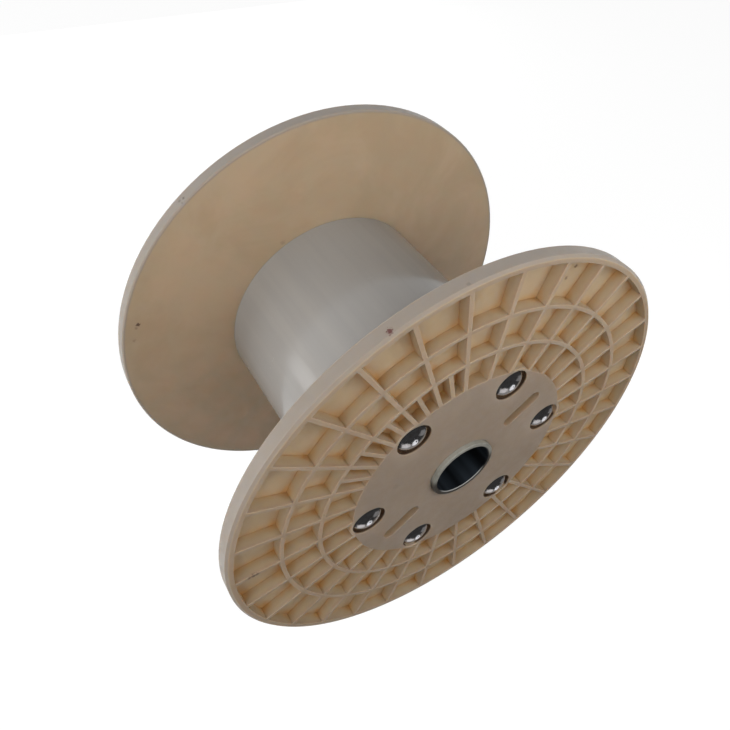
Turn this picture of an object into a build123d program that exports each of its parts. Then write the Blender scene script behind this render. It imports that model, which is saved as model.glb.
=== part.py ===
from build123d import *
import math
import os

# Lengths are in millimetres and angles in degrees. The spool lies on the rims of its two
# flanges. Its axis is the X axis, its centre is the origin, and the near flange is the one
# at +X. Angles round the axis run from +Y towards +Z.

# The spool as a whole
flange_diameter = 500.0
overall_width = 290.0
first_bolt_angle = 3.3

# Moulded flange: a thin web with a smooth inner face, stiffened by ribs on its outer face
flange_thickness = 16.0
web_thickness = 3.8
rim_wall = 7.0
rim_face_chamfer = 2.5
rim_back_chamfer = 1.2
rib_thickness = 4.0
rib_draft_angle = 1.0
radial_rib_count = 30
ring_rib_shares = (0.295, 0.621)
short_rib_count = 5
short_rib_bolt_number = 2

# Hub of the flange: a plate level with the rib tops, hollow on the side of the barrel
hub_plate_thickness = 5.0
hub_wall = 4.0
hub_rib_thickness = 3.2
hub_rib_count = 12
collar_wall = 6.0
locating_depth = 12.0
locating_lead = 2.0

# Recesses for the tie bolts, which stand just inside the barrel's wall, and two driving slots
bolt_count = 6
bolt_inset = 10.0
recess_diameter = 36.5
recess_depth = 4.5
recess_wall = 3.0
recess_floor = 5.0
slot_count = 2
slot_length = 47.5
slot_width = 15.0
slot_distance = 84.0
slot_wall = 3.0

# White barrel tube
barrel_diameter = 250.0
barrel_wall = 7.0

# Steel arbor tube
arbor_diameter = 73.0
arbor_wall = 5.2
arbor_proud = 4.5
arbor_chamfer = 1.0

# Tie bolts with domed heads, each with a washer and a thin nut at the far flange
bolt_diameter = 12.0
head_diameter = 30.6
head_height = 6.9
head_edge = 2.2
bolt_end_proud = 0.5
washer_diameter = 30.0
washer_thickness = 2.0
nut_across_flats = 19.0
nut_height = 6.0

# Clearances between the pieces
barrel_gap = 0.3
arbor_gap = 0.2
bolt_gap = 0.5
nut_gap = 0.1

# Every cut runs this far past the face that it breaks through
overrun = 2.0

# Sizes that follow from the ones above
flange_radius = flange_diameter / 2
half_width = overall_width / 2
hub_radius = barrel_diameter / 2
hub_hollow_radius = hub_radius - hub_wall
bolt_circle_radius = hub_radius - barrel_wall - bolt_inset
rim_inner_radius = flange_radius - rim_wall
collar_bore_radius = arbor_diameter / 2 + arbor_gap
collar_radius = collar_bore_radius + collar_wall
locating_radius = hub_radius - barrel_wall - barrel_gap
locating_bottom = flange_thickness + locating_depth
recess_radius = recess_diameter / 2
boss_radius = recess_radius + recess_wall
rib_pitch = 360 / radial_rib_count
bolt_pitch = 360 / bolt_count
slot_angle = first_bolt_angle + bolt_pitch / 2
barrel_length = overall_width - 2 * flange_thickness


def bolt_angles():
    return [first_bolt_angle + bolt_pitch * number for number in range(bolt_count)]


def slot_angles():
    return [slot_angle + 360 / slot_count * number for number in range(slot_count)]


def short_rib_angles():
    # Short ribs halve the pockets of the inner band, in the sector round one of the bolts
    middle = first_bolt_angle + bolt_pitch * short_rib_bolt_number
    first = middle - rib_pitch * (short_rib_count - 1) / 2
    return [first + rib_pitch * number for number in range(short_rib_count)]


def at_polar(radius, angle):
    turn = math.radians(angle)
    return Pos(radius * math.cos(turn), radius * math.sin(turn)) * Rot(0, 0, angle)


def to_near_end(shape):
    # A flange is drawn with its outer face at z = 0 and its barrel side below that
    return Plane.YZ.offset(half_width).location * shape


def to_far_end(shape):
    # The far flange is the same moulding, turned over about the line through its slots
    turn = math.radians(slot_angle)
    flip_axis = Axis((0, 0, 0), (0, math.cos(turn), math.sin(turn)))
    return to_near_end(shape).rotate(flip_axis, 180)


# Moulded flange

def flange_blank():
    # The flange turned whole, before the pockets are cut between its ribs
    section = Polyline(
        (flange_radius - rim_face_chamfer, 0),
        (flange_radius, -rim_face_chamfer),
        (flange_radius, rim_back_chamfer - flange_thickness),
        (flange_radius - rim_back_chamfer, -flange_thickness),
        (hub_hollow_radius, -flange_thickness),
        (hub_hollow_radius, -hub_plate_thickness),
        (collar_radius, -hub_plate_thickness),
        (collar_radius, -locating_bottom),
        (collar_bore_radius, -locating_bottom),
        (collar_bore_radius, 0),
        close=True,
    )
    return revolve(Plane.XZ * make_face(section), Axis.Z, 360)


def lean(height):
    # How far a drafted wall leans over this height
    return height * math.tan(math.radians(rib_draft_angle))


def band_pockets(inner_radius, outer_radius, rib_angles):
    # A turned ring as deep as the pockets, parted by the radial ribs. All its walls have draft.
    depth = flange_thickness - web_thickness
    ring_section = Polyline(
        (inner_radius - lean(overrun), overrun),
        (outer_radius + lean(overrun), overrun),
        (outer_radius - lean(depth), -depth),
        (inner_radius + lean(depth), -depth),
        close=True,
    )
    pockets = revolve(Plane.XZ * make_face(ring_section), Axis.Z, 360)
    half_rib = rib_thickness / 2
    top = 2 * overrun
    bottom = depth + overrun
    rib_section = Polyline(
        (half_rib - lean(top), top),
        (lean(top) - half_rib, top),
        (-half_rib - lean(bottom), -bottom),
        (half_rib + lean(bottom), -bottom),
        close=True,
    )
    start = Plane.YZ.offset(inner_radius - overrun)
    length = outer_radius - inner_radius + 2 * overrun
    rib = extrude(start * make_face(rib_section), amount=length)
    pockets -= [Rot(0, 0, angle) * rib for angle in rib_angles]
    if bolt_circle_radius + boss_radius > inner_radius:
        boss = upright(Circle(boss_radius), top, -bottom)
        pockets -= [at_polar(bolt_circle_radius, angle) * boss for angle in bolt_angles()]
    return pockets


def cut_rib_pockets(body):
    # Three bands of pockets, parted by two ring ribs
    first_rib = first_bolt_angle + rib_pitch / 2
    long_ribs = [first_rib + rib_pitch * number for number in range(radial_rib_count)]
    width = rim_inner_radius - hub_radius
    half_rib = rib_thickness / 2
    inner_radius = hub_radius
    for share in ring_rib_shares:
        ring_radius = hub_radius + width * share
        inner_band = inner_radius == hub_radius
        ribs = long_ribs + short_rib_angles() if inner_band else long_ribs
        body -= band_pockets(inner_radius, ring_radius - half_rib, ribs)
        inner_radius = ring_radius + half_rib
    return body - band_pockets(inner_radius, rim_inner_radius, long_ribs)


def hub_ribs():
    # Ribs on the hidden side of the hub. Their lower ends stand inside the barrel and centre it.
    plate_middle = -hub_plate_thickness / 2
    outline = Plane.XZ * make_face(Polyline(
        (collar_radius - collar_wall / 2, plate_middle),
        (hub_hollow_radius + hub_wall / 2, plate_middle),
        (hub_hollow_radius + hub_wall / 2, -flange_thickness),
        (locating_radius, -flange_thickness),
        (locating_radius, locating_lead - locating_bottom),
        (locating_radius - locating_lead, -locating_bottom),
        (collar_radius - collar_wall / 2, -locating_bottom),
        close=True,
    ))
    rib = extrude(outline, amount=hub_rib_thickness / 2, both=True)
    pitch = 360 / hub_rib_count
    first = first_bolt_angle + pitch / 2
    return [Rot(0, 0, first + pitch * number) * rib for number in range(hub_rib_count)]


def upright(outline, top, bottom):
    return Pos(0, 0, bottom) * extrude(outline, amount=top - bottom)


def flange():
    body = cut_rib_pockets(flange_blank())
    plate_middle = -hub_plate_thickness / 2
    recess_bottom = -recess_depth - recess_floor
    boss = upright(Circle(boss_radius), plate_middle, recess_bottom)
    sleeve_outline = SlotOverall(slot_length + 2 * slot_wall, slot_width + 2 * slot_wall)
    sleeve = upright(sleeve_outline, plate_middle, -flange_thickness)
    body += hub_ribs()
    body += [at_polar(bolt_circle_radius, angle) * boss for angle in bolt_angles()]
    body += [at_polar(slot_distance, angle) * sleeve for angle in slot_angles()]
    recess = upright(Circle(recess_radius), overrun, -recess_depth)
    bolt_hole = upright(Circle(bolt_diameter / 2 + bolt_gap), 0, recess_bottom - overrun)
    slot = upright(SlotOverall(slot_length, slot_width), overrun, -flange_thickness - overrun)
    body -= [at_polar(bolt_circle_radius, angle) * recess for angle in bolt_angles()]
    body -= [at_polar(bolt_circle_radius, angle) * bolt_hole for angle in bolt_angles()]
    body -= [at_polar(slot_distance, angle) * slot for angle in slot_angles()]
    return body


# Barrel and arbor

def tube(outer_radius, inner_radius, length):
    # A straight tube along X, with its middle at the origin
    ring = Circle(outer_radius) - Circle(inner_radius)
    return extrude(Plane.YZ * ring, amount=length / 2, both=True)


def barrel():
    return tube(barrel_diameter / 2, barrel_diameter / 2 - barrel_wall, barrel_length)


def arbor_tube():
    # Steel tube right through the spool. Its ends stand proud of both flanges.
    outer_radius = arbor_diameter / 2
    body = tube(outer_radius, outer_radius - arbor_wall, overall_width + 2 * arbor_proud)
    ends = body.edges().filter_by(GeomType.CIRCLE)
    return chamfer(ends, arbor_chamfer)


# Fasteners

def tie_bolt():
    # Drawn at the near end: the head's underside lies on the floor of its recess
    seat = -recess_depth
    head_radius = head_diameter / 2
    cap_height = head_height - head_edge
    ball_radius = (head_radius ** 2 + cap_height ** 2) / (2 * cap_height)
    half_turn = math.asin(head_radius / ball_radius) / 2
    cap_middle = (
        ball_radius * math.sin(half_turn),
        seat + head_height - ball_radius * (1 - math.cos(half_turn)),
    )
    nut_top = recess_depth - washer_thickness - nut_height - bolt_end_proud
    shank_end = nut_top - overall_width
    shank_radius = bolt_diameter / 2
    outline = Polyline(
        (0, seat + head_height),
        (0, shank_end),
        (shank_radius, shank_end),
        (shank_radius, seat),
        (head_radius, seat),
        (head_radius, seat + head_edge),
    )
    cap = ThreePointArc((head_radius, seat + head_edge), cap_middle, (0, seat + head_height))
    return revolve(Plane.XZ * make_face([outline, cap]), Axis.Z, 360)


def washer():
    ring = Circle(washer_diameter / 2) - Circle(bolt_diameter / 2 + bolt_gap)
    return upright(ring, washer_thickness - recess_depth, -recess_depth)


def nut():
    # A thin hexagon nut, seated on its washer
    seat = washer_thickness - recess_depth
    hexagon = RegularPolygon(nut_across_flats / 2, 6, major_radius=False)
    return upright(hexagon - Circle(bolt_diameter / 2 + nut_gap), seat + nut_height, seat)


def write(name, shape):
    export_step(shape, os.path.join("parts", name + ".step"))


def main():
    os.makedirs("parts", exist_ok=True)
    moulding = flange()
    write("flange_near", to_near_end(moulding))
    write("flange_far", to_far_end(moulding))
    write("barrel", barrel())
    write("arbor_tube", arbor_tube())
    for number, angle in enumerate(bolt_angles(), start=1):
        near_place = at_polar(bolt_circle_radius, angle)
        # Turned over with the far flange, this place lands on the same bolt
        far_place = at_polar(bolt_circle_radius, 2 * slot_angle - angle)
        write(f"tie_bolt_{number}", to_near_end(near_place * tie_bolt()))
        write(f"washer_{number}", to_far_end(far_place * washer()))
        write(f"nut_{number}", to_far_end(far_place * nut()))


main()
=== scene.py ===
import math

import bmesh
import bpy
from mathutils import Matrix, Vector


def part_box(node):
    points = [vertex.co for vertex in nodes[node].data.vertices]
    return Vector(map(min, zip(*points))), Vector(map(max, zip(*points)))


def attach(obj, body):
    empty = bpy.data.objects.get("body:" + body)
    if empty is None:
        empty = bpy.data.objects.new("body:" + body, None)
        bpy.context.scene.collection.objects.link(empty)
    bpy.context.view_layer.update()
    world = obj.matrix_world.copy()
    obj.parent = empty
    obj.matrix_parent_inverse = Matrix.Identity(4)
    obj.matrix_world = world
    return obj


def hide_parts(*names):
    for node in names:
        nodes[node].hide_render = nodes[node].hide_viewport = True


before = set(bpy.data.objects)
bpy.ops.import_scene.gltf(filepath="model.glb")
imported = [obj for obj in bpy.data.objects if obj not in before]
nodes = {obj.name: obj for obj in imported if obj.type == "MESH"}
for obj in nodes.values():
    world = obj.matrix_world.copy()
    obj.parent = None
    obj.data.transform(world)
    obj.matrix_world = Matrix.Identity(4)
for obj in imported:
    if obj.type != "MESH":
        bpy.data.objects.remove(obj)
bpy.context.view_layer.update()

MM = 0.001
BOLT_NUMBERS = range(1, 7)

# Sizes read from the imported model, in metres. The spool's axis is the X axis.
near_low, near_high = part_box("flange_near")
barrel_low, barrel_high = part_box("barrel")
arbor_low, arbor_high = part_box("arbor_tube")
FLANGE_RADIUS = (near_high.y - near_low.y) / 2
BARREL_RADIUS = (barrel_high.y - barrel_low.y) / 2
ARBOR_RADIUS = (arbor_high.y - arbor_low.y) / 2
HALF_WIDTH = near_high.x
INNER_FACE = barrel_high.x
FLOOR = near_low.z

# Depth of the pockets between the ribs, measured from the flange's outer face
POCKET_DEPTH = 12.2 * MM
POCKET_FLOOR = HALF_WIDTH - POCKET_DEPTH

# Radius of the recess round each bolt head, and height of the head's dome over its edge
BOLT_RECESS_RADIUS = 18.25 * MM
DOME_HEIGHT = 4.7 * MM

# Colours in screen values, 0 to 255. A surface with two tones wanders between them.
INNER_TONES = (171, 153, 126), (178, 160, 134)
WALL_TONES = (167, 149, 122), (160, 142, 115)
RIB_TOP_TONES = (157, 140, 121), (152, 134, 115)
HUB_TONES = (144, 129, 114), (140, 125, 110)
# The rims: the plastic's colour with a painted sheen, greyer and cooler than the faces, and lighter
# on the far flange than on the near one, though both flanges are one moulding
NEAR_RIM_WITH_SHEEN = (148, 138, 127)
FAR_RIM_WITH_SHEEN = (154, 145, 135)
# Painted shade: a browner tone for the sides of the slots and recesses below the hub plate's face
SLOT_SIDE_SHADE = (148, 126, 100)
# Painted shade in the narrow gap round each bolt head
BOLT_GAP_SHADE = (52, 38, 30)
# Painted warm shade and glow in the pocket corners
PAINTED_CORNER_GLOW = (178, 132, 72)
BARREL_TONES = (160, 157, 153), (166, 162, 157)
BARREL_CLOUD = (155, 149, 142)
BARREL_SCUFF = (150, 146, 140)
CHROME_TONES = (206, 206, 209), (186, 184, 182)
# Painted shade on the plain edge below each bolt's dome
HEAD_EDGE_SHADE = (74, 64, 56)
TUBE_TONES = (150, 149, 140), (168, 166, 157)
TUBE_STAIN = (122, 121, 112)
# Painted shade on the arbor tube towards the bottom
TUBE_UNDERSIDE_SHADE = (72, 68, 62)
# Painted shade inside the bore, near black with blue-grey streaks
BORE_SHADE_TONES = (14, 15, 17), (50, 57, 64)
# Painted highlight on the bore's lower lip
BORE_LIP_HIGHLIGHT = (188, 187, 182)
ZINC_TONES = (178, 178, 174), (150, 148, 140)
STAGE_FLOOR = (96, 96, 95)
BROWN = (74, 50, 40)
RED_BROWN = (92, 44, 38)
GREY = (96, 88, 82)

# Marks on the plastic: angle round the axis from +Y towards +Z, share of the flange's radius,
# place along the axis, radius of the mark, colour and strength
NEAR_MARKS = (
    (109.3, 1.000, 139.6 * MM, 3.0 * MM, RED_BROWN, 0.95),
    (109.7, 1.000, 142.6 * MM, 1.2 * MM, RED_BROWN, 0.6),
    (93.5, 1.000, 140.9 * MM, 1.9 * MM, GREY, 0.35),
    (61.8, 0.929, POCKET_FLOOR, 1.9 * MM, BROWN, 0.7),
    (62.7, 0.879, POCKET_FLOOR, 2.0 * MM, BROWN, 0.6),
    (63.6, 0.886, POCKET_FLOOR, 1.2 * MM, BROWN, 0.35),
    (177.3, 0.890, HALF_WIDTH, 2.3 * MM, BROWN, 0.7),
    (177.3, 0.905, HALF_WIDTH, 2.5 * MM, BROWN, 0.75),
    (177.3, 0.920, HALF_WIDTH, 2.0 * MM, BROWN, 0.6),
    (159.7, 0.332, HALF_WIDTH, 4.1 * MM, GREY, 0.22),
)
FAR_MARKS = (
    (158.7, 0.940, -INNER_FACE, 2.5 * MM, BROWN, 0.95),
    (159.8, 0.945, -INNER_FACE, 1.8 * MM, BROWN, 0.35),
    (163.8, 0.951, -INNER_FACE, 2.2 * MM, RED_BROWN, 0.25),
    (112.2, 0.520, -INNER_FACE, 2.9 * MM, GREY, 0.3),
    (123.9, 1.000, -134.8 * MM, 1.7 * MM, BROWN, 0.6),
    (125.0, 1.000, -136.3 * MM, 1.8 * MM, GREY, 0.55),
    (124.8, 1.000, -131.3 * MM, 1.4 * MM, GREY, 0.4),
)

# The nuts: chamfers of corners and bores, points along each side, and the angle above which an
# edge is shaded as sharp, with angles in degrees
CORNER_CHAMFER_ANGLE = 30.0
CHAMFER_START_SHARE = 0.96
BORE_CHAMFER = 0.8 * MM
NUT_SIDES = 6
NUT_SAMPLES = 24
SHARP_ANGLE = 25.0

# The photo's camera, fitted to the outlines of both flanges
CAMERA_AZIMUTH = 57.98
CAMERA_ELEVATION = 47.69
CAMERA_DISTANCE = 3.052 * FLANGE_RADIUS
CAMERA_RIGHT = 0.002 * FLANGE_RADIUS
CAMERA_UP = 0.093 * FLANGE_RADIUS
PHOTO_PIXELS = 730
FOCAL_PIXELS = 674.6
CENTRE_PIXEL = (384.9, 353.1)
SENSOR_MM = 36.0

# The floor's reach from the middle, its own light in plain view, and the light of the world
FLOOR_REACH = 6.0
FLOOR_GLOW = 0.93
WORLD_LIGHT = 0.17
WORLD_TINT = (0.94, 0.96, 1.0, 1.0)
WHITE = (1.0, 1.0, 1.0, 1.0)

# A window low on the left and open sky beyond it: place, target, width and height, watts, tint
# and whether reflections show the lamp
SIDE_LAMPS = (
    ("window", (-0.50, -1.22, 0.06), (0, 0, 0.03), (0.66, 0.36), 1.4, (1.0, 0.98, 0.96), True),
    ("sky", (-1.45, -1.85, 0.55), (0, 0, 0), (2.2, 1.6), 30.0, (0.97, 0.98, 1.0), False),
)

# Soft lamps before the near flange, and one behind the far one: azimuth, elevation, distance,
# target, side and watts
FACE_LAMPS = (
    ("face_left", 25.0, 35.0, 1.5, (0.14, 0.0, 0.0), 1.2, 14.5),
    ("face_high", 90.0, 48.0, 0.6, (0.14, 0.13, 0.11), 0.45, 0.7),
    ("face_low", 110.0, 5.0, 0.8, (0.14, 0.12, -0.12), 0.6, 1.3),
    ("face_right", 125.0, 35.0, 0.65, (0.14, 0.13, 0.11), 0.5, 1.95),
    ("face_front", 65.0, 30.0, 0.7, (0.14, 0.13, 0.11), 0.5, 1.3),
    ("face_side", 145.0, 25.0, 1.0, (0.14, 0.08, 0.08), 0.8, 1.1),
    ("back_fill", 255.0, 5.0, 1.6, (-0.14, 0.0, 0.0), 1.2, 13.0),
)

# Shades of the cards that only reflections see: name, colour and strength
CARD_SHADES = (
    ("dark", (1.0, 0.98, 0.97), 0.045),
    ("ground", (1.0, 0.88, 0.78), 0.26),
    ("glow", (1.0, 0.94, 0.90), 0.28),
    ("patch", (1.0, 0.95, 0.93), 0.75),
    ("streak", (1.0, 0.97, 0.95), 0.24),
    ("glint", (0.98, 0.98, 1.0), 1.15),
)

# The wall and ground cards: from and to along X, the ground card's height, and their reach
CARD_NEAR = HALF_WIDTH + 1.0 * MM
CARD_FAR = HALF_WIDTH + 95.0 * MM
CARD_LOW = FLOOR + 2.0 * MM
CARD_REACH = 1.2

# Small cards before each bolt head: shade, distance, and the places on the dome where their
# corners are reflected, across and up from its top in millimetres
HEAD_CARDS = (
    ("streak", 24.0 * MM, (
        (3.0, 6.5), (8.0, 3.0), (12.0, 4.0), (11.0, 7.5), (7.0, 9.5),
    )),
    ("glow", 25.0 * MM, (
        (-13.5, -6.0), (0.0, -8.0), (2.5, -2.0), (1.5, 2.0), (-6.0, 0.5), (-13.0, 3.5),
    )),
    ("patch", 18.0 * MM, (
        (-13.0, -3.0), (-8.5, -4.5), (-5.5, -2.5), (-6.0, 1.0), (-9.0, 2.6), (-12.5, 1.5),
    )),
    ("glint", 12.0 * MM, (
        (-4.0, -2.4), (-2.0, -3.8), (1.0, -3.2), (2.2, 0.0), (1.4, 2.8), (-1.0, 3.8), (-3.4, 1.8),
    )),
)


class Tree:
    """The node tree of a material or world, with calls that add a node and link its inputs."""

    def __init__(self, owner, kind="Material"):
        owner.use_nodes = True
        self.owner = owner
        self.tree = owner.node_tree
        self.tree.nodes.clear()
        self.output = self.tree.nodes.new(f"ShaderNodeOutput{kind}")

    def put(self, socket, value):
        if isinstance(value, bpy.types.NodeSocket):
            self.tree.links.new(value, socket)
        elif value is not None:
            socket.default_value = value

    def node(self, kind, inputs=None, **settings):
        made = self.tree.nodes.new("ShaderNode" + kind)
        for key, value in settings.items():
            setattr(made, key, value)
        for key, value in (inputs or {}).items():
            self.put(made.inputs[key], value)
        return made

    def math(self, operation, first, second=0.0):
        made = self.node("Math", operation=operation)
        self.put(made.inputs[0], first)
        self.put(made.inputs[1], second)
        return made.outputs[0]

    def ramp(self, value, start, end, low=0.0, high=1.0, smooth=True):
        """The value carried from low at start to high at end, and held there beyond them."""
        made = self.node("MapRange", {"Value": value, "From Min": start, "From Max": end,
                                      "To Min": low, "To Max": high})
        made.interpolation_type = "SMOOTHSTEP" if smooth else "LINEAR"
        return made.outputs["Result"]

    def mix(self, factor, first, second):
        made = self.node("Mix", data_type="RGBA")
        self.put(made.inputs["Factor"], factor)
        for socket, value in ((made.inputs[6], first), (made.inputs[7], second)):
            self.put(socket, colour(value) if isinstance(value, tuple) else value)
        return made.outputs[2]

    def noise(self, scale, detail, roughness=0.5, vector=None, distortion=0.0):
        made = self.node("TexNoise", {"Scale": scale, "Detail": detail, "Roughness": roughness,
                                      "Distortion": distortion})
        self.put(made.inputs["Vector"], vector if vector else self.place())
        return made.outputs["Fac"]

    def place(self):
        return self.node("TexCoord").outputs["Object"]

    def stretched(self, scale):
        made = self.node("Mapping", {"Vector": self.place(), "Scale": scale})
        return made.outputs["Vector"]

    def axes(self, vector=None):
        made = self.node("SeparateXYZ", {"Vector": vector if vector else self.place()})
        return made.outputs[0], made.outputs[1], made.outputs[2]

    def radius(self):
        """The distance from the spool's axis."""
        _, y, z = self.axes()
        squares = self.math("ADD", self.math("MULTIPLY", y, y), self.math("MULTIPLY", z, z))
        return self.math("SQRT", squares)

    def distance_to(self, point, vector=None):
        made = self.node("VectorMath", operation="DISTANCE")
        self.put(made.inputs[0], vector if vector else self.place())
        made.inputs[1].default_value = point
        return made.outputs["Value"]

    def bump(self, height, distance, strength, normal=None):
        made = self.node("Bump", {"Height": height, "Distance": distance, "Strength": strength})
        self.put(made.inputs["Normal"], normal)
        return made.outputs["Normal"]

    def surface(self, shader):
        self.tree.links.new(shader, self.output.inputs["Surface"])
        return self.owner


def material_tree(name):
    return Tree(bpy.data.materials.new(name))


def colour(rgb):
    """A colour written in screen values, 0 to 255, as the linear colour that a shader takes."""
    linear = []
    for part in rgb:
        share = part / 255
        linear.append(share / 12.92 if share <= 0.04045 else ((share + 0.055) / 1.055) ** 2.4)
    return (*linear, 1.0)


# Materials. Noise scales are in cycles a metre.

def add_marks(tree, base, marks):
    """Dirt specks with ragged edges, each at its own place on the flange."""
    ragged = tree.ramp(tree.noise(700.0, 2.0), 0.3, 0.7, -0.35, 0.35, smooth=False)
    for angle, share, x, size, rgb, strength in marks:
        turn = math.radians(angle)
        reach = share * FLANGE_RADIUS
        point = (x, reach * math.cos(turn), reach * math.sin(turn))
        away = tree.math("ADD", tree.math("DIVIDE", tree.distance_to(point), size), ragged)
        base = tree.mix(tree.ramp(away, 1.25, 0.45, 0.0, strength), base, rgb)
    return base


def painted_gap_shade_mask(tree, side):
    """One in the narrow gap round each bolt head, which is painted dark as shade in the recess, and
    zero elsewhere.
    """
    _, y, z = tree.axes()
    flat = tree.node("CombineXYZ", {"Y": y, "Z": z}).outputs[0]
    nearest = 1.0
    for number in BOLT_NUMBERS:
        low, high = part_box(f"tie_bolt_{number}")
        axis = (0.0, (low.y + high.y) / 2, (low.z + high.z) / 2)
        nearest = tree.math("MINIMUM", nearest, tree.distance_to(axis, flat))
    within = tree.ramp(nearest, BOLT_RECESS_RADIUS + 0.4 * MM, BOLT_RECESS_RADIUS - 0.1 * MM)
    below_face = tree.ramp(side, HALF_WIDTH - 0.2 * MM, HALF_WIDTH - 2.0 * MM)
    return tree.math("MULTIPLY", within, below_face)


def flange_material(name, marks, rim_colour_and_sheen):
    """Moulded plastic, coloured by how far a point lies from the axis and from the outer face."""
    tree = material_tree(name)
    x, _, _ = tree.axes()
    side = tree.math("ABSOLUTE", x)
    cloud = tree.noise(11.0, 4.0, 0.6, distortion=0.6)
    patch = tree.ramp(cloud, 0.36, 0.66)
    # Smooth inner face, and the rim in a greyer, cooler tone that is partly a painted sheen
    base = tree.mix(patch, *INNER_TONES)
    rim = tree.ramp(tree.radius(), FLANGE_RADIUS - 4.0 * MM, FLANGE_RADIUS - 1.5 * MM)
    base = tree.mix(rim, base, rim_colour_and_sheen)
    # The outer side: pocket walls and floors, and greyer rib tops
    outer = tree.ramp(side, POCKET_FLOOR - 1.5 * MM, POCKET_FLOOR - 0.5 * MM)
    inside_rim = tree.math("MULTIPLY", outer, tree.math("SUBTRACT", 1.0, rim))
    base = tree.mix(inside_rim, base, tree.mix(patch, *WALL_TONES))
    top = tree.ramp(side, HALF_WIDTH - 4.5 * MM, HALF_WIDTH - 0.3 * MM)
    top = tree.math("MULTIPLY", top, inside_rim)
    base = tree.mix(top, base, tree.mix(patch, *RIB_TOP_TONES))
    # The hub plate, with painted shade on the sides of its slots and in the gaps round its bolt
    # heads
    hub = tree.ramp(tree.radius(), BARREL_RADIUS + 0.6 * MM, BARREL_RADIUS - 0.6 * MM)
    hub = tree.math("MULTIPLY", hub, outer)
    plate = tree.mix(patch, *HUB_TONES)
    # Painted shade: the sides of the slots and recesses below the hub plate's face are browner
    recess = tree.ramp(side, HALF_WIDTH - 0.3 * MM, HALF_WIDTH - 2.5 * MM)
    plate = tree.mix(recess, plate, SLOT_SIDE_SHADE)
    # Painted shade: the narrow gap round each bolt head is dark brown
    plate = tree.mix(painted_gap_shade_mask(tree, side), plate, BOLT_GAP_SHADE)
    base = tree.mix(hub, base, plate)
    # Painted warm shade and glow where the walls meet the web, led by ambient occlusion, for light
    # bouncing in the pockets
    occlusion = tree.node("AmbientOcclusion", {"Distance": 13.0 * MM}, samples=6, only_local=True)
    corner = tree.ramp(occlusion.outputs["AO"], 0.8, 0.3)
    deep = tree.ramp(side, HALF_WIDTH - 1.0 * MM, POCKET_FLOOR + 2.0 * MM)
    corner = tree.math("MULTIPLY", tree.math("MULTIPLY", corner, deep), outer)
    streak = tree.ramp(tree.noise(60.0, 3.0, 0.6), 0.3, 0.7, 0.45, 1.0)
    base = tree.mix(tree.math("MULTIPLY", corner, streak), base, PAINTED_CORNER_GLOW)
    base = add_marks(tree, base, marks)
    # A satin skin with fine grain and faint waviness
    grain = tree.noise(1500.0, 2.0, 0.5)
    wave = tree.noise(38.0, 2.0, 0.5)
    normal = tree.bump(wave, 0.25 * MM, 0.5)
    normal = tree.bump(grain, 0.03 * MM, 0.5, normal)
    rough = tree.ramp(tree.noise(70.0, 4.0, 0.65), 0.3, 0.7, 0.42, 0.56)
    shader = tree.node("BsdfPrincipled", {
        "Base Color": base,
        "Roughness": rough,
        "Subsurface Weight": 0.75,
        "Subsurface Radius": (1.0, 0.68, 0.4),
        "Subsurface Scale": 10.0 * MM,
        "Normal": normal,
    })
    return tree.surface(shader.outputs[0])


def barrel_material():
    """White pipe, drawn along its axis, so that its streaks run along X."""
    tree = material_tree("barrel_plastic")
    along = tree.noise(1.0, 4.0, 0.6, tree.stretched((2.0, 45.0, 45.0)))
    cloud = tree.noise(7.0, 3.0, 0.5)
    base = tree.mix(tree.ramp(along, 0.3, 0.7), *BARREL_TONES)
    base = tree.mix(tree.ramp(cloud, 0.4, 0.7, 0.0, 0.35), base, BARREL_CLOUD)
    scuff = tree.noise(1.0, 5.0, 0.7, tree.stretched((220.0, 14.0, 14.0)))
    scuffed = tree.ramp(scuff, 0.62, 0.74)
    base = tree.mix(tree.math("MULTIPLY", scuffed, 0.25), base, BARREL_SCUFF)
    rough = tree.ramp(scuffed, 0.0, 1.0, 0.15, 0.32)
    wave = tree.noise(1.0, 2.0, 0.5, tree.stretched((9.0, 22.0, 22.0)))
    normal = tree.bump(wave, 0.2 * MM, 0.3)
    shader = tree.node("BsdfPrincipled", {
        "Base Color": base,
        "Roughness": rough,
        "Specular IOR Level": 0.5,
        "Subsurface Weight": 0.15,
        "Subsurface Radius": (1.0, 0.9, 0.8),
        "Subsurface Scale": 4.0 * MM,
        "Normal": normal,
    })
    return tree.surface(shader.outputs[0])


def chrome_material():
    """Polished plating with a little haze, and painted shade on the plain edge below each dome."""
    tree = material_tree("bolt_chrome")
    haze = tree.noise(260.0, 4.0, 0.6)
    rough = tree.ramp(haze, 0.35, 0.75, 0.13, 0.2)
    base = tree.mix(tree.ramp(haze, 0.4, 0.8), *CHROME_TONES)
    # Painted shade: the plain edge below the dome is darkened
    dome_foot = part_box("tie_bolt_1")[1].x - DOME_HEIGHT
    x, _, _ = tree.axes()
    below_dome = tree.ramp(x, dome_foot + 0.3 * MM, dome_foot - 0.1 * MM)
    above_shank = tree.ramp(x, dome_foot - 4.0 * MM, dome_foot - 3.0 * MM)
    base = tree.mix(tree.math("MULTIPLY", below_dome, above_shank), base, HEAD_EDGE_SHADE)
    shader = tree.node("BsdfPrincipled", {
        "Base Color": base,
        "Metallic": 1.0,
        "Roughness": rough,
        "Normal": tree.bump(tree.noise(90.0, 2.0), 0.05 * MM, 0.3),
    })
    return tree.surface(shader.outputs[0])


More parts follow.
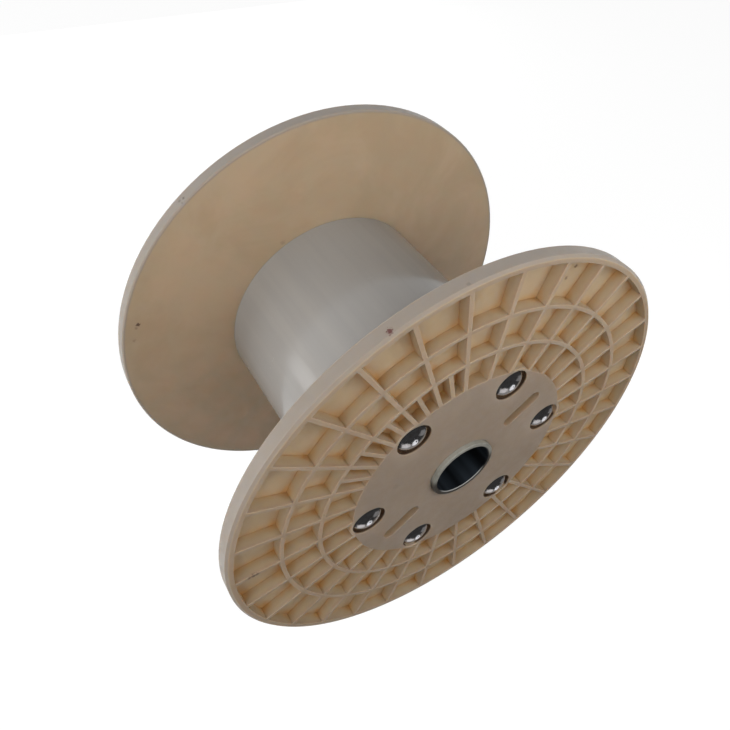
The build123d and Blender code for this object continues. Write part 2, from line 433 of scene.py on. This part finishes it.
def galvanised_material():
    """Spangled steel, with painted shade darkening it towards the bottom and inside the bore, and a
    painted highlight on the bore's lower lip.
    """
    tree = material_tree("arbor_steel")
    spangle = tree.node("TexVoronoi", {"Vector": tree.place(), "Scale": 160.0})
    tint = tree.axes(spangle.outputs["Color"])[0]
    base = tree.mix(tint, *TUBE_TONES)
    stain = tree.noise(45.0, 4.0, 0.65)
    base = tree.mix(tree.ramp(stain, 0.45, 0.75, 0.0, 0.6), base, TUBE_STAIN)
    x, _, z = tree.axes()
    # Painted shade: darker towards the bottom
    base = tree.mix(tree.ramp(z, 10.0 * MM, -3.0 * MM), base, TUBE_UNDERSIDE_SHADE)
    # Painted shade inside the bore, near black with blue-grey streaks along it
    inside = tree.ramp(tree.radius(), ARBOR_RADIUS - 3.6 * MM, ARBOR_RADIUS - 4.8 * MM)
    drawn = tree.noise(1.0, 2.0, 0.5, tree.stretched((3.0, 55.0, 55.0)))
    base = tree.mix(inside, base, tree.mix(tree.ramp(drawn, 0.35, 0.7), *BORE_SHADE_TONES))
    # Painted highlight on the inner lip of the bore's end, low down
    lip_highlight = tree.ramp(tree.radius(), ARBOR_RADIUS - 4.6 * MM, ARBOR_RADIUS - 4.2 * MM, 1.0, 0.0)
    lip_highlight = tree.math("MULTIPLY", lip_highlight, tree.ramp(x, HALF_WIDTH + 3.5 * MM, HALF_WIDTH + 4.0 * MM))
    lip_highlight = tree.math("MULTIPLY", lip_highlight, tree.ramp(z, -14.0 * MM, -24.0 * MM))
    base = tree.mix(lip_highlight, base, BORE_LIP_HIGHLIGHT)
    rough = tree.ramp(stain, 0.3, 0.7, 0.28, 0.48)
    shader = tree.node("BsdfPrincipled", {
        "Base Color": base,
        "Metallic": 0.4,
        "Roughness": rough,
        "Normal": tree.bump(stain, 0.12 * MM, 0.4),
    })
    return tree.surface(shader.outputs[0])


def zinc_material():
    """Bright zinc plating, a little stained, on the nuts and washers."""
    tree = material_tree("fastener_zinc")
    stain = tree.noise(120.0, 4.0, 0.6)
    base = tree.mix(tree.ramp(stain, 0.35, 0.7), *ZINC_TONES)
    rough = tree.ramp(stain, 0.3, 0.7, 0.26, 0.42)
    shader = tree.node("BsdfPrincipled", {
        "Base Color": base,
        "Metallic": 1.0,
        "Roughness": rough,
        "Normal": tree.bump(tree.noise(900.0, 2.0), 0.02 * MM, 0.4),
    })
    return tree.surface(shader.outputs[0])


def wear(node_name, material):
    """Give a node of the model its material."""
    data = nodes[node_name].data
    data.materials.clear()
    data.materials.append(material)


# Nuts with chamfered corners, which stand for the plain hexagons of the model

def nut_rings(apothem, bore, height, turn):
    """Rings of (radius, height) round a hexagon nut, from its bore over both faces and back,
    at a turn in radians from the middle of a side."""
    corner = apothem / math.cos(turn)
    start = apothem * CHAMFER_START_SHARE
    drop = max(0.0, (corner - start) * math.tan(math.radians(CORNER_CHAMFER_ANGLE)))
    return (
        (bore, BORE_CHAMFER),
        (bore + BORE_CHAMFER, 0.0),
        (start, 0.0),
        (corner, drop),
        (corner, height - drop),
        (start, height),
        (bore + BORE_CHAMFER, height),
        (bore, height - BORE_CHAMFER),
    )


def make_nut(number, zinc):
    name = f"nut_{number}"
    low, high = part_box(name)
    middle = (low + high) / 2
    places = [vertex.co for vertex in nodes[name].data.vertices]
    spread = [Vector((place.y - middle.y, place.z - middle.z)) for place in places]
    farthest = max(spread, key=lambda place: place.length)
    nearest = min(spread, key=lambda place: place.length)
    apothem = farthest.length * math.cos(math.pi / NUT_SIDES)
    corner_angle = math.atan2(farthest.y, farthest.x)
    height = high.x - low.x
    side_turn = 2 * math.pi / NUT_SIDES
    count = NUT_SIDES * NUT_SAMPLES
    mesh = bmesh.new()
    columns = []
    for index in range(count):
        angle = corner_angle + 2 * math.pi * index / count
        turn = (index / NUT_SAMPLES % 1.0) * side_turn - side_turn / 2
        column = []
        for radius, rise in nut_rings(apothem, nearest.length, height, turn):
            y = middle.y + radius * math.cos(angle)
            z = middle.z + radius * math.sin(angle)
            column.append(mesh.verts.new((high.x - rise, y, z)))
        columns.append(column)
    for index, column in enumerate(columns):
        following = columns[(index + 1) % count]
        for ring in range(len(column)):
            after = (ring + 1) % len(column)
            mesh.faces.new((column[ring], column[after], following[after], following[ring]))
    bmesh.ops.recalc_face_normals(mesh, faces=mesh.faces)
    data = bpy.data.meshes.new(f"{name}_detailed")
    mesh.to_mesh(data)
    mesh.free()
    data.shade_smooth()
    data.set_sharp_from_angle(angle=math.radians(SHARP_ANGLE))
    data.materials.append(zinc)
    piece = bpy.data.objects.new(f"{name}_detailed", data)
    bpy.context.scene.collection.objects.link(piece)
    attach(piece, "root")
    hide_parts(name)


def dress():
    zinc = zinc_material()
    chrome = chrome_material()
    wear("flange_near", flange_material("flange_near_plastic", NEAR_MARKS, NEAR_RIM_WITH_SHEEN))
    wear("flange_far", flange_material("flange_far_plastic", FAR_MARKS, FAR_RIM_WITH_SHEEN))
    wear("barrel", barrel_material())
    wear("arbor_tube", galvanised_material())
    for number in BOLT_NUMBERS:
        wear(f"tie_bolt_{number}", chrome)
        wear(f"washer_{number}", zinc)
        make_nut(number, zinc)


# Camera, floor, cards, world and lamps

def direction(azimuth, elevation):
    """The direction from the object to a viewer at an azimuth and elevation in degrees."""
    turn, rise = math.radians(azimuth), math.radians(elevation)
    level = math.cos(rise)
    return Vector((math.sin(turn) * level, -math.cos(turn) * level, math.sin(rise)))


def camera_axes():
    back = direction(CAMERA_AZIMUTH, CAMERA_ELEVATION)
    right = (-back).cross(Vector((0, 0, 1))).normalized()
    return right, right.cross(-back), back


def camera_place():
    right, up, back = camera_axes()
    return back * CAMERA_DISTANCE + right * CAMERA_RIGHT + up * CAMERA_UP


def make_camera():
    data = bpy.data.cameras.new("camera")
    data.sensor_width = SENSOR_MM
    data.lens = SENSOR_MM * FOCAL_PIXELS / PHOTO_PIXELS
    data.shift_x = 0.5 - CENTRE_PIXEL[0] / PHOTO_PIXELS
    data.shift_y = CENTRE_PIXEL[1] / PHOTO_PIXELS - 0.5
    camera = bpy.data.objects.new("camera", data)
    turn = Matrix(camera_axes()).transposed().to_4x4()
    camera.matrix_world = Matrix.Translation(camera_place()) @ turn
    bpy.context.scene.collection.objects.link(camera)
    bpy.context.scene.camera = camera


def add_stage(name, places, faces, material):
    """A mesh that isn't part of the object."""
    mesh = bpy.data.meshes.new(name)
    mesh.from_pydata(places, [], faces)
    mesh.materials.append(material)
    piece = bpy.data.objects.new(name, mesh)
    bpy.context.scene.collection.objects.link(piece)
    return piece


def add_rectangle(name, low, high, material):
    """A flat rectangle between two corners that share an X or a Z."""
    if low[2] == high[2]:
        places = [low, (high[0], low[1], low[2]), high, (low[0], high[1], low[2])]
    else:
        places = [low, (low[0], high[1], low[2]), high, (low[0], low[1], high[2])]
    return add_stage(name, places, [(0, 1, 2, 3)], material)


def add_fan(name, middle, corners, material):
    count = len(corners)
    faces = [(index, (index + 1) % count, count) for index in range(count)]
    return add_stage(name, [*corners, middle], faces, material)


def plain_view(tree):
    """One for camera, glossy and transmission rays, which see the white ground, and zero for
    the rays that light the object."""
    path = tree.node("LightPath")
    seen = tree.math("MAXIMUM", path.outputs["Is Camera Ray"], path.outputs["Is Glossy Ray"])
    return tree.math("MAXIMUM", seen, path.outputs["Is Transmission Ray"])


def make_floor():
    tree = material_tree("floor")
    strength = tree.math("MULTIPLY", plain_view(tree), FLOOR_GLOW)
    matt = tree.node("BsdfDiffuse", {"Color": colour(STAGE_FLOOR)})
    lift = tree.node("Emission", {"Color": WHITE, "Strength": strength})
    both = tree.node("AddShader")
    tree.put(both.inputs[0], matt.outputs[0])
    tree.put(both.inputs[1], lift.outputs[0])
    add_rectangle("floor", (-FLOOR_REACH, -FLOOR_REACH, FLOOR), (FLOOR_REACH, FLOOR_REACH, FLOOR),
                  tree.surface(both.outputs[0]))


def mirrored(number, across, up, distance):
    """The point that the camera sees mirrored in a bolt head, at a place across and up from the
    top of its dome and at a distance before it."""
    low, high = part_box(f"tie_bolt_{number}")
    head_radius = (high.y - low.y) / 2
    ball = (head_radius ** 2 + DOME_HEIGHT ** 2) / (2 * DOME_HEIGHT)
    middle = Vector((high.x - ball, (low.y + high.y) / 2, (low.z + high.z) / 2))
    normal = Vector((math.sqrt(ball ** 2 - across ** 2 - up ** 2), across, up)) / ball
    place = middle + normal * ball
    away = (place - camera_place()).normalized().reflect(normal)
    return place + away * distance


def make_cards():
    """Dark and bright cards that only reflections see, set beside polished metal as in a studio."""
    shades = {}
    for name, rgb, strength in CARD_SHADES:
        tree = material_tree(f"card_{name}")
        glow = tree.node("Emission", {"Color": (*rgb, 1.0), "Strength": strength})
        shades[name] = tree.surface(glow.outputs[0])
    cards = [
        add_rectangle("card_wall", (CARD_FAR, -CARD_REACH, CARD_LOW),
                      (CARD_FAR, CARD_REACH, CARD_REACH), shades["dark"]),
        add_rectangle("card_floor", (CARD_NEAR, -CARD_REACH, CARD_LOW),
                      (CARD_FAR, CARD_REACH, CARD_LOW), shades["ground"]),
    ]
    for number in BOLT_NUMBERS:
        for name, distance, corners in HEAD_CARDS:
            across = sum(corner[0] for corner in corners) / len(corners)
            up = sum(corner[1] for corner in corners) / len(corners)
            middle, *places = [mirrored(number, right * MM, rise * MM, distance)
                               for right, rise in ((across, up), *corners)]
            cards.append(add_fan(f"card_{name}_{number}", middle, places, shades[name]))
    for card in cards:
        card.visible_camera = False
        card.visible_diffuse = False
        card.visible_transmission = False
        card.visible_volume_scatter = False
        card.visible_shadow = False


def make_world():
    world = bpy.data.worlds.new("world")
    tree = Tree(world, "World")
    light = tree.node("Background", {"Color": WORLD_TINT, "Strength": WORLD_LIGHT})
    white = tree.node("Background", {"Color": WHITE, "Strength": 1.0})
    mixed = tree.node("MixShader")
    tree.put(mixed.inputs[0], plain_view(tree))
    tree.put(mixed.inputs[1], light.outputs[0])
    tree.put(mixed.inputs[2], white.outputs[0])
    bpy.context.scene.world = tree.surface(mixed.outputs[0])


def area_light(name, place, target, size, power, tint, glossy):
    data = bpy.data.lights.new(name, "AREA")
    data.shape = "RECTANGLE"
    data.size, data.size_y = size
    data.energy = power
    data.color = tint
    lamp = bpy.data.objects.new(name, data)
    lamp.location = place
    lamp.rotation_euler = (Vector(target) - Vector(place)).to_track_quat("-Z", "Y").to_euler()
    lamp.visible_camera = False
    lamp.visible_glossy = glossy
    bpy.context.scene.collection.objects.link(lamp)


def make_lights():
    for lamp in SIDE_LAMPS:
        area_light(*lamp)
    for name, azimuth, elevation, distance, target, size, power in FACE_LAMPS:
        place = Vector(target) + direction(azimuth, elevation) * distance
        area_light(name, place, target, (size, size), power, WHITE[:3], False)


make_camera()
dress()
make_floor()
make_cards()
make_world()
make_lights()
bpy.context.scene.view_settings.view_transform = "Standard"
